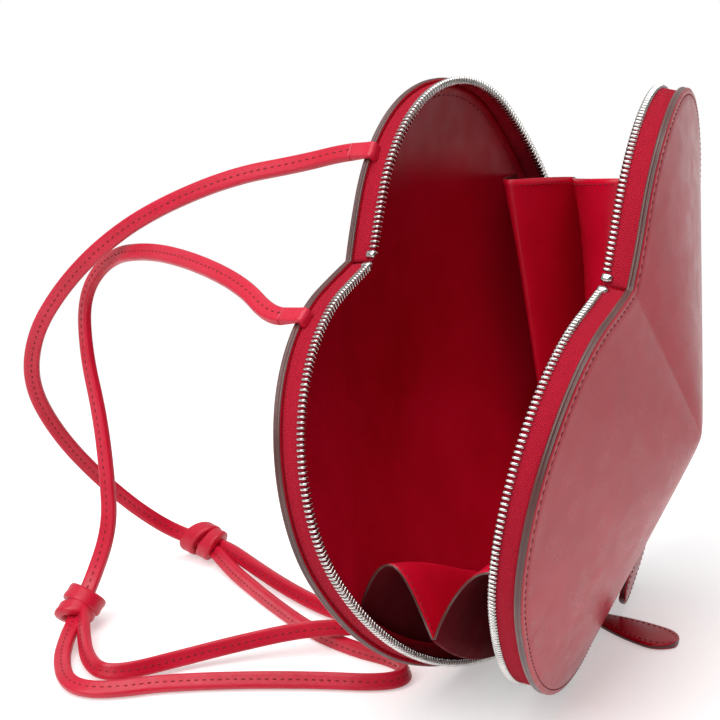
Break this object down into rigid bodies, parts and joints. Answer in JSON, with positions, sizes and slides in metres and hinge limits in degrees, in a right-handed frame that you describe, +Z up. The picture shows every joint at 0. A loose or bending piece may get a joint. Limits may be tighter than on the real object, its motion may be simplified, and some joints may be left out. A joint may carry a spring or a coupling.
{
  "type": "heart shaped purse",
  "caption": "Heart shaped leather purse lying open on its side, with a zip along each side, folding gussets, petal pulls and a knotted shoulder strap.",
  "frame": {"origin": "middle of the open bag's footprint on the floor, without its strap", "axes": "+Z up from the floor, +X from the back panel to the front panel, -Y out of the open mouth at the heart's notch"},
  "size_m": [0.2441, 0.2007, 0.199],
  "materials": {
    "bag_leather": "gloss",
    "lining_leather": "satin",
    "strap_leather": "gloss",
    "zip_tape": "matte",
    "zip_metal": "polished"
  },
  "bodies": {
    "back": {"back_floor_stop": "zip_metal", "back_floor_tape": "zip_tape", "back_floor_teeth": "zip_metal", "back_lining": "lining_leather", "back_panel": "bag_leather", "back_upper_stop": "zip_metal", "back_upper_tape": "zip_tape", "back_upper_teeth": "zip_metal", "first_double": "strap_leather", "first_knot": "strap_leather", "floor_gusset": "lining_leather", "near_strand": "strap_leather", "near_strap_tab": "strap_leather", "second_double": "strap_leather", "second_knot": "strap_leather", "tip_fold": "bag_leather", "upper_gusset": "lining_leather", "upper_strand": "strap_leather", "upper_strap_tab": "strap_leather"},
    "front": {"front_floor_stop": "zip_metal", "front_floor_tape": "zip_tape", "front_floor_teeth": "zip_metal", "front_lining": "lining_leather", "front_panel": "bag_leather", "front_upper_stop": "zip_metal", "front_upper_tape": "zip_tape", "front_upper_teeth": "zip_metal"},
    "upper_slider": {"upper_slider": "zip_metal"},
    "upper_pull": {"upper_ring": "zip_metal", "upper_petal": "bag_leather"},
    "floor_slider": {"floor_slider": "zip_metal"},
    "floor_pull": {"floor_ring": "zip_metal", "floor_petal": "bag_leather"}
  },
  "joints": [
    {"name": "front_fold", "type": "hinge", "parent": "back", "child": "front", "pos_m": [0.00165, 0.06792, 0.02198], "axis": [0.0161, 0.8382, 0.5451], "range_deg": [-22.1, 0], "deforming": ["upper_gusset", "floor_gusset"]},
    {"name": "upper_slider_travel", "type": "slide", "parent": "front", "child": "upper_slider", "axis": [0.1038, 0.3073, 0.9459], "range_m": [-0.004, 0]},
    {"name": "upper_pull_swing", "type": "hinge", "parent": "upper_slider", "child": "upper_pull", "pos_m": [0.00074, 0.08782, 0.03047], "axis": [0.1038, 0.3073, 0.9459], "range_deg": [0, 70]},
    {"name": "floor_slider_travel", "type": "slide", "parent": "back", "child": "floor_slider", "axis": [-0.0771, -0.9864, -0.1454], "range_m": [-0.005, 0]},
    {"name": "floor_pull_swing", "type": "hinge", "parent": "floor_slider", "child": "floor_pull", "pos_m": [0.00326, 0.05026, 0.00304], "axis": [0, 0, 1], "range_deg": [-3, 40]}
  ]
}
